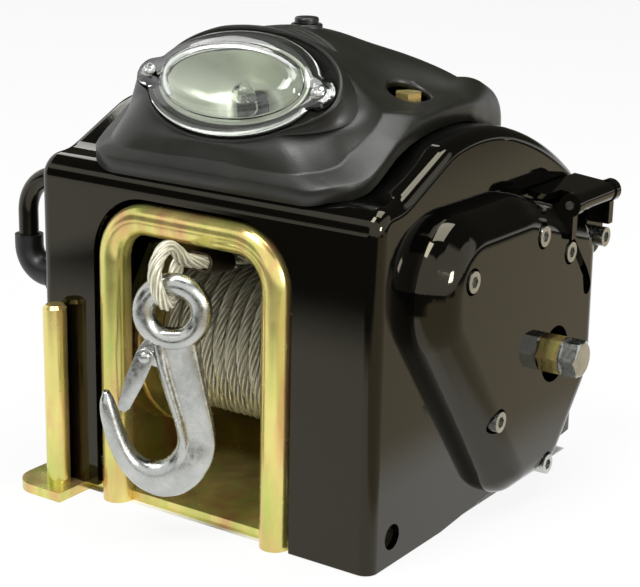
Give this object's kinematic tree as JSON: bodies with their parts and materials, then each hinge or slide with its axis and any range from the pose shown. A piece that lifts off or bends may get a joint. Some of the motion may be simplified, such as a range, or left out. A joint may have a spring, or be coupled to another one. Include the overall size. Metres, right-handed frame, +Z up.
{
  "type": "electric trailer winch",
  "caption": "Compact electric winch with a wire rope drum behind a rod guard, a geared slip clutch in a side cover, a snap hook on the rope and an oval lamp on its top cover.",
  "frame": {"origin": "centre of the four mounting holes, on the underside of the base plate", "axes": "+X to the gear side, +Y to the rear, +Z up; the rope leaves towards -Y"},
  "size_m": [0.2471, 0.2355, 0.2241],
  "materials": {
    "black_paint": "gloss black",
    "yellow_zinc": "yellow chromate zinc",
    "bright_zinc": "bright zinc",
    "steel": "machined",
    "wire_rope": "galvanised strands",
    "ferrule_metal": "dull",
    "bronze": "sintered",
    "copper": "turned",
    "cover_plastic": "fine grain charcoal",
    "button_plastic": "black",
    "switch_plastic": "black",
    "lens_clear": "clear moulded",
    "bulb_glass": "clear",
    "reflector_grey": "satin metallised",
    "black_rubber": "soft gloss",
    "lead_jacket": "gloss black",
    "lining_red": "pressed fibre",
    "magnet_grey": "ferrite",
    "brush_carbon": "carbon"
  },
  "bodies": {
    "frame": {"base_frame": "yellow_zinc", "hook_post": "yellow_zinc", "guard_bar": "yellow_zinc", "tie_rod": "yellow_zinc", "housing": "black_paint", "housing_screws": "bright_zinc", "top_cover": "cover_plastic", "top_cover_screws": "yellow_zinc", "lamp_lens": "lens_clear", "lamp_gasket": "black_rubber", "lamp_reflector": "reflector_grey", "lamp_socket": "switch_plastic", "lamp_bulb": "bulb_glass", "lamp_screws": "bright_zinc", "lamp_switch": "switch_plastic", "gear_cover": "black_paint", "gear_cover_screws": "bright_zinc", "cover_clinch_nuts": "bright_zinc", "lever_pin": "bright_zinc", "drum_bushes": "bronze", "rope_end": "wire_rope", "rope_ferrule": "ferrule_metal", "clutch_bush": "bronze", "idler_pin": "steel", "idler_ring": "steel", "motor_can": "steel", "motor_drive_end": "steel", "motor_end_bell": "switch_plastic", "motor_screws": "bright_zinc", "motor_bushes": "bronze", "motor_magnets": "magnet_grey", "motor_brushes": "brush_carbon", "power_lead": "lead_jacket", "lead_boot": "black_rubber", "lead_grommet": "black_rubber"},
    "drum_set": {"drum": "yellow_zinc", "drum_shaft": "steel", "drum_key": "steel", "drum_gear": "steel", "drum_rings": "steel", "rope_core": "wire_rope", "rope_winding": "wire_rope"},
    "clutch_set": {"clutch_shaft": "steel", "clutch_gear": "steel", "clutch_linings": "lining_red", "pressure_plate": "steel", "clutch_spring": "steel", "clutch_nut": "yellow_zinc", "crank_head": "bright_zinc"},
    "idler_set": {"idler_pinion": "steel", "idler_gear": "steel"},
    "rotor": {"motor_shaft": "steel", "motor_pinion": "steel", "motor_armature": "steel", "motor_commutator": "copper"},
    "lever": {"release_lever": "black_paint"},
    "button": {"lamp_button": "button_plastic"},
    "hook_set": {"hook": "bright_zinc", "latch_pin": "bright_zinc"},
    "latch": {"hook_latch": "bright_zinc"}
  },
  "joints": [
    {"name": "drum_spin", "type": "hinge", "parent": "frame", "child": "drum_set", "pos_m": [0, -0.011, 0.0675], "axis": [1, 0, 0], "continuous": true},
    {"name": "clutch_spin", "type": "hinge", "parent": "frame", "child": "clutch_set", "pos_m": [0, 0.03963, 0.07104], "axis": [1, 0, 0], "continuous": true},
    {"name": "idler_spin", "type": "hinge", "parent": "frame", "child": "idler_set", "pos_m": [0, 0.06213, 0.11001], "axis": [1, 0, 0], "continuous": true},
    {"name": "motor_spin", "type": "hinge", "parent": "frame", "child": "rotor", "pos_m": [0, 0.04091, 0.13122], "axis": [1, 0, 0], "continuous": true},
    {"name": "lever_lift", "type": "hinge", "parent": "frame", "child": "lever", "pos_m": [0.1085, 0.067, 0.141], "axis": [0, 1, 0], "range_deg": [0, 70]},
    {"name": "button_press", "type": "slide", "parent": "frame", "child": "button", "axis": [0, 0, -1], "range_m": [0, 0.0015], "stiffness_N_per_m": 500, "springref_m": -0.0008},
    {"name": "hook_swing", "type": "hinge", "parent": "frame", "child": "hook_set", "pos_m": [-0.00159, -0.10805, 0.11915], "axis": [-0.8448, -0.5279, -0.0872], "range_deg": [-10, 80]},
    {"name": "latch_swing", "type": "hinge", "parent": "hook_set", "child": "latch", "pos_m": [-0.01071, -0.11375, 0.0864], "axis": [0.5299, -0.848, 0], "range_deg": [0, 28], "stiffness_Nm_per_rad": 0.03, "springref_deg": -17.19}
  ],
  "couplings": [
    {"joint": "clutch_spin", "follows": "drum_spin", "ratio": -3.8333},
    {"joint": "idler_spin", "follows": "drum_spin", "ratio": 19.167},
    {"joint": "motor_spin", "follows": "drum_spin", "ratio": -95.833}
  ]
}
